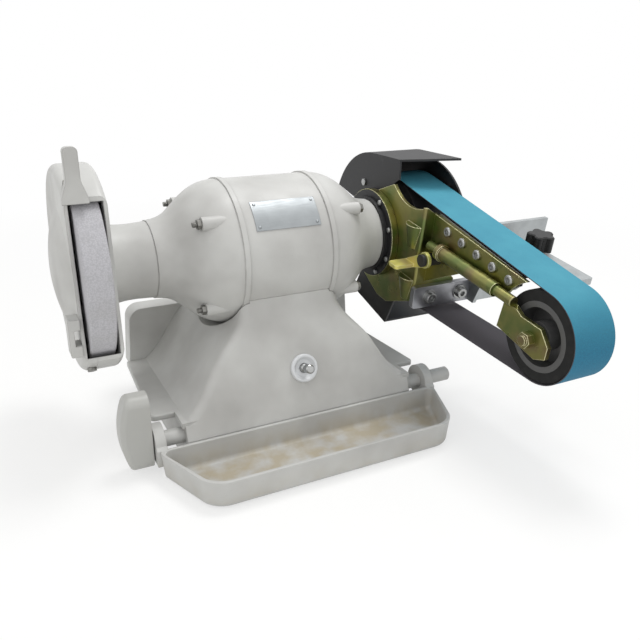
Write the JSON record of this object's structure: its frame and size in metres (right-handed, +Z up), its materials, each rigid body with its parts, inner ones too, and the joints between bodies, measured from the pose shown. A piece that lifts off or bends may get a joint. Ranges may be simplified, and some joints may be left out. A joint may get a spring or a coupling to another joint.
{
  "type": "bench grinder",
  "caption": "Bench grinder with a guarded stone wheel on the left, a dust tray in front and a belt grinding arm on the right of the motor.",
  "frame": {"origin": "middle of the four bench bolts, on the bench top", "axes": "+X along the spindle from the stone wheel to the belt, -Y towards the operator, +Z up"},
  "size_m": [0.5295, 0.4286, 0.326],
  "materials": {
    "grey_paint": "satin paint",
    "bare_steel": "machined",
    "zinc_yellow": "yellow zinc plating",
    "black_powder": "fine black powder coat",
    "aluminium": "sawn and brushed",
    "stone": "grey abrasive grit",
    "tyre_rubber": "moulded rubber",
    "belt_cloth": "blue grit on cloth backing",
    "black_plastic": "moulded",
    "white_plastic": "moulded",
    "grey_plastic": "moulded",
    "core_steel": "laminated sheet"
  },
  "bodies": {
    "grinder": {"base_casting": "grey_paint", "base_cover": "grey_paint", "motor_barrel": "grey_paint", "left_end_bell": "grey_paint", "right_end_bell": "grey_paint", "tie_bolts": "bare_steel", "stator_core": "core_steel", "spindle_bearings": "bare_steel", "nameplate": "aluminium", "switch_bezel": "white_plastic", "wheel_guard": "grey_paint", "guard_cover": "grey_paint", "guard_screws": "bare_steel", "guard_strap": "grey_paint", "visor_post": "grey_paint", "tray_studs": "bare_steel", "adapter_ring": "black_powder"},
    "spindle_set": {"spindle": "bare_steel", "rotor_core": "core_steel", "grinding_wheel": "stone", "wheel_flanges": "bare_steel", "wheel_nut": "bare_steel", "drive_drum": "aluminium", "drum_nut": "bare_steel"},
    "tray": {"dust_tray": "grey_paint"},
    "knob": {"tray_knob": "grey_plastic"},
    "toggle": {"switch_lever": "bare_steel"},
    "belt_arm": {"clamp_collar": "black_powder", "collar_bolts": "bare_steel", "bracket_plate": "zinc_yellow", "drum_guard": "black_powder", "lower_guard": "black_powder", "guard_bolts": "bare_steel", "arm_plate": "zinc_yellow", "platen": "bare_steel", "arm_bolts": "bare_steel", "tension_tube": "zinc_yellow", "lever_stud": "bare_steel", "cross_bar": "bare_steel", "cross_bolts": "bare_steel", "rest_bracket": "aluminium", "abrasive_belt": "belt_cloth"},
    "tension_slide": {"tension_plunger": "zinc_yellow", "slide_plate": "zinc_yellow", "axle_bolt": "bare_steel"},
    "contact_wheel": {"contact_hub": "aluminium", "contact_tyre": "tyre_rubber"},
    "lever": {"tension_lever": "zinc_yellow"},
    "rest": {"rest_bar": "aluminium"},
    "clamp_knob": {"rest_knob": "black_plastic"}
  },
  "joints": [
    {"name": "spindle_spin", "type": "hinge", "parent": "grinder", "child": "spindle_set", "pos_m": [0, 0, 0.196], "axis": [1, 0, 0], "continuous": true},
    {"name": "tray_tip", "type": "hinge", "parent": "grinder", "child": "tray", "pos_m": [0, -0.095, 0.032], "axis": [-1, 0, 0], "range_deg": [0, 30]},
    {"name": "tray_knob_turn", "type": "hinge", "parent": "grinder", "child": "knob", "pos_m": [-0.185, -0.095, 0.032], "axis": [1, 0, 0], "range_deg": [-90, 90]},
    {"name": "switch_rock", "type": "hinge", "parent": "grinder", "child": "toggle", "pos_m": [0.004, -0.0958, 0.08], "axis": [1, 0, 0], "range_deg": [-12, 12]},
    {"name": "arm_swing", "type": "hinge", "parent": "grinder", "child": "belt_arm", "pos_m": [0, 0, 0.196], "axis": [-1, 0, 0], "range_deg": [-10, 60]},
    {"name": "belt_tension", "type": "slide", "parent": "belt_arm", "child": "tension_slide", "axis": [0, -0.9884, -0.1521], "range_m": [-0.008, 0], "stiffness_N_per_m": 1500, "springref_m": 0.02},
    {"name": "contact_spin", "type": "hinge", "parent": "tension_slide", "child": "contact_wheel", "pos_m": [0.1905, -0.27279, 0.15401], "axis": [1, 0, 0], "continuous": true},
    {"name": "lever_turn", "type": "hinge", "parent": "belt_arm", "child": "lever", "pos_m": [0.1445, -0.1145, 0.19052], "axis": [-1, 0, 0], "range_deg": [0, 25]},
    {"name": "rest_shift", "type": "slide", "parent": "belt_arm", "child": "rest", "axis": [0, -0.9884, -0.1521], "range_m": [-0.01, 0.01]},
    {"name": "rest_knob_turn", "type": "hinge", "parent": "belt_arm", "child": "clamp_knob", "pos_m": [0.2405, -0.18353, 0.20519], "axis": [0, -0.1521, 0.9884], "range_deg": [-180, 180]}
  ],
  "couplings": [
    {"joint": "contact_spin", "follows": "spindle_spin", "ratio": 1.5217},
    {"joint": "lever_turn", "follows": "belt_tension", "rad_per_m": -54.5}
  ]
}
